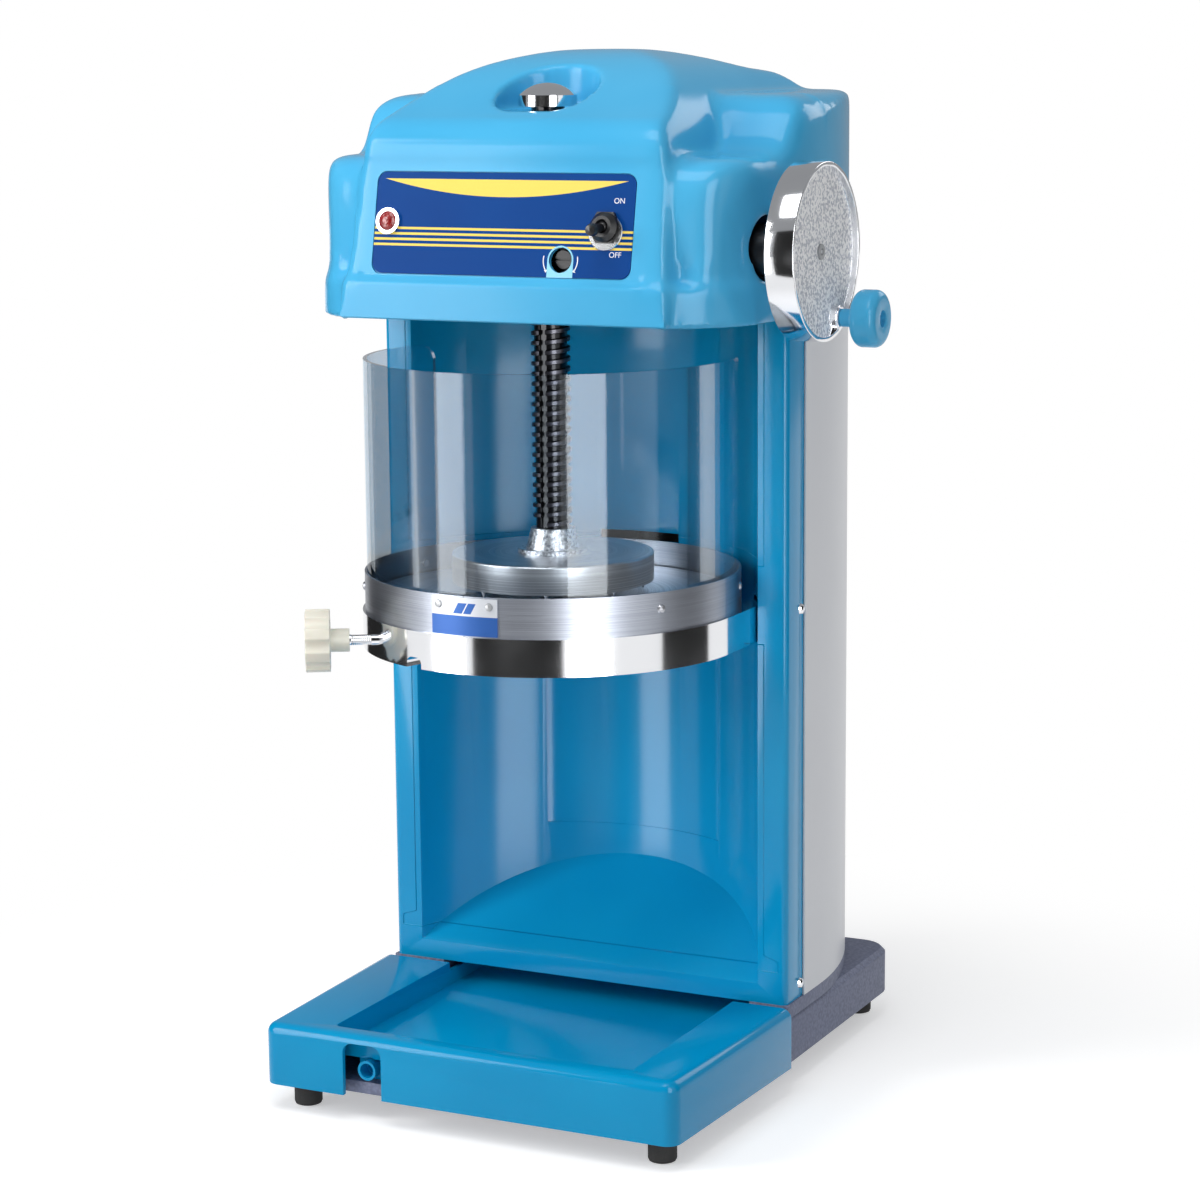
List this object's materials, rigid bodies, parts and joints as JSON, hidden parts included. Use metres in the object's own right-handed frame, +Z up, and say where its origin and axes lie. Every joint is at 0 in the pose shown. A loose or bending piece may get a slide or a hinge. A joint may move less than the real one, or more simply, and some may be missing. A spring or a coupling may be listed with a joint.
{
  "type": "block ice shaver with feed crank",
  "caption": "Tall bench-top block ice shaver: moulded hood with side crank wheel, screw-driven ice press, clear guard over a blade table, and a pull-out drip tray.",
  "frame": {"origin": "centre of the four feet, at bench level", "axes": "+Z up, -Y towards the user (the drip tray side), +X towards the crank wheel"},
  "size_m": [0.432, 0.4456, 0.7775],
  "materials": {
    "blue_moulding": "high gloss moulded",
    "light_blue_moulding": "high gloss moulded",
    "pale_sheet": "satin powder coat",
    "grey_casting": "fine hammered grey paint",
    "black_rubber": "matt",
    "belt_rubber": "matt, woven back",
    "clear_sheet": "clear polished sheet",
    "brushed_band": "brushed along the band",
    "polished_chrome": "mirror polished",
    "bright_steel": "turned and satin",
    "blade_steel": "ground",
    "dark_screw_steel": "blackened and oiled",
    "zinc_steel": "zinc plated",
    "wheel_silver": "rough hammered silver face, plated rim",
    "bearing_steel": "ground",
    "bronze": "sintered",
    "ivory_plastic": "satin moulded",
    "black_plastic": "satin moulded",
    "red_button": "glossy translucent red",
    "printed_panel": "dark blue with plain yellow stripes",
    "band_label": "silver above, blue below",
    "motor_paint": "semi-gloss"
  },
  "bodies": {
    "frame": {"base_casting": "grey_casting", "rubber_feet": "black_rubber", "foot_screws": "zinc_steel", "cord_gland": "black_plastic", "column_frame": "zinc_steel", "column_front_cover": "blue_moulding", "column_rear_cover": "pale_sheet", "cover_screws": "polished_chrome", "frame_plate": "zinc_steel", "table_yoke": "polished_chrome", "blade_table": "bright_steel", "blade_bridge": "bright_steel", "guard_band": "brushed_band", "band_plate": "band_label", "band_plate_screws": "zinc_steel", "clear_guard": "clear_sheet", "guard_rivets": "bright_steel", "hub_bearing": "bearing_steel", "drive_belt": "belt_rubber", "motor_body": "motor_paint", "motor_bolts": "zinc_steel", "brake_band": "zinc_steel", "bridge_plate": "zinc_steel", "bridge_posts": "zinc_steel", "crank_bracket": "black_plastic", "crank_bushes": "bronze", "head_cover": "light_blue_moulding", "head_floor": "black_plastic", "control_panel": "printed_panel", "reset_bezel": "polished_chrome", "toggle_switch": "black_plastic", "capacitor": "black_plastic"},
    "tray": {"drip_tray": "blue_moulding", "drain_spout": "blue_moulding"},
    "blade_block": {"blade_carrier": "bright_steel", "blade": "blade_steel", "blade_screws": "zinc_steel"},
    "blade_adjuster": {"adjuster_stud": "polished_chrome", "adjuster_knob": "ivory_plastic"},
    "spindle_drive": {"drive_hub": "bearing_steel", "drive_key": "bearing_steel", "driven_pulley": "motor_paint"},
    "motor_rotor": {"motor_shaft": "bearing_steel", "motor_pulley": "motor_paint"},
    "press": {"spindle_screw": "dark_screw_steel", "spindle_cap": "polished_chrome", "press_hub": "polished_chrome", "press_disc": "bright_steel", "press_spikes": "bright_steel"},
    "feed": {"feed_nut": "bronze", "bevel_ring_gear": "bearing_steel"},
    "crank": {"crank_shaft": "bearing_steel", "bevel_pinion": "bearing_steel", "hand_wheel": "wheel_silver", "wheel_screw": "zinc_steel", "crank_pin": "polished_chrome"},
    "crank_handle": {"crank_knob": "light_blue_moulding"},
    "reset": {"reset_button": "red_button"},
    "power_toggle": {"toggle_lever": "black_plastic"},
    "brake_adjuster": {"brake_screw": "zinc_steel"}
  },
  "joints": [
    {"name": "spindle_spin", "type": "hinge", "parent": "frame", "child": "spindle_drive", "pos_m": [0, -0.063, 0.6], "axis": [0, 0, 1], "continuous": true},
    {"name": "motor_spin", "type": "hinge", "parent": "frame", "child": "motor_rotor", "pos_m": [0, 0.141, 0.6], "axis": [0, 0, 1], "continuous": true},
    {"name": "press_lift", "type": "slide", "parent": "spindle_drive", "child": "press", "axis": [0, 0, 1], "range_m": [0, 0.14]},
    {"name": "crank_spin", "type": "hinge", "parent": "frame", "child": "crank", "pos_m": [0.1, -0.063, 0.6362], "axis": [1, 0, 0], "range_deg": [0, 13440]},
    {"name": "feed_nut_spin", "type": "hinge", "parent": "frame", "child": "feed", "pos_m": [0, -0.063, 0.684], "axis": [0, 0, 1], "range_deg": [-6720, 0]},
    {"name": "crank_handle_spin", "type": "hinge", "parent": "crank", "child": "crank_handle", "pos_m": [0.225, -0.038, 0.5882], "axis": [1, 0, 0], "continuous": true},
    {"name": "tray_slide", "type": "slide", "parent": "frame", "child": "tray", "axis": [0, -1, 0], "range_m": [0, 0.2]},
    {"name": "adjuster_turn", "type": "hinge", "parent": "frame", "child": "blade_adjuster", "pos_m": [-0.09016, -0.17683, 0.3562], "axis": [0.866, 0.5, 0], "range_deg": [0, 720]},
    {"name": "blade_lift", "type": "slide", "parent": "frame", "child": "blade_block", "axis": [-0.4415, 0.7647, 0.4695], "range_m": [0, 0.003]},
    {"name": "power_toggle_flip", "type": "hinge", "parent": "frame", "child": "power_toggle", "pos_m": [0.08, -0.13755, 0.6553], "axis": [-1, 0, 0], "range_deg": [0, 28]},
    {"name": "reset_push", "type": "slide", "parent": "frame", "child": "reset", "axis": [0, 0.982, -0.1889], "range_m": [0, 0.002], "stiffness_N_per_m": 400},
    {"name": "brake_turn", "type": "hinge", "parent": "frame", "child": "brake_adjuster", "pos_m": [0.0462, -0.12729, 0.6315], "axis": [0, 1, 0], "range_deg": [-180, 180]}
  ],
  "couplings": [
    {"joint": "motor_spin", "follows": "spindle_spin", "ratio": 3.1053},
    {"joint": "feed_nut_spin", "follows": "crank_spin", "ratio": -0.5},
    {"joint": "press_lift", "follows": "crank_spin", "m_per_rad": 0.00059683},
    {"joint": "adjuster_turn", "follows": "blade_lift", "rad_per_m": 4188.8}
  ]
}
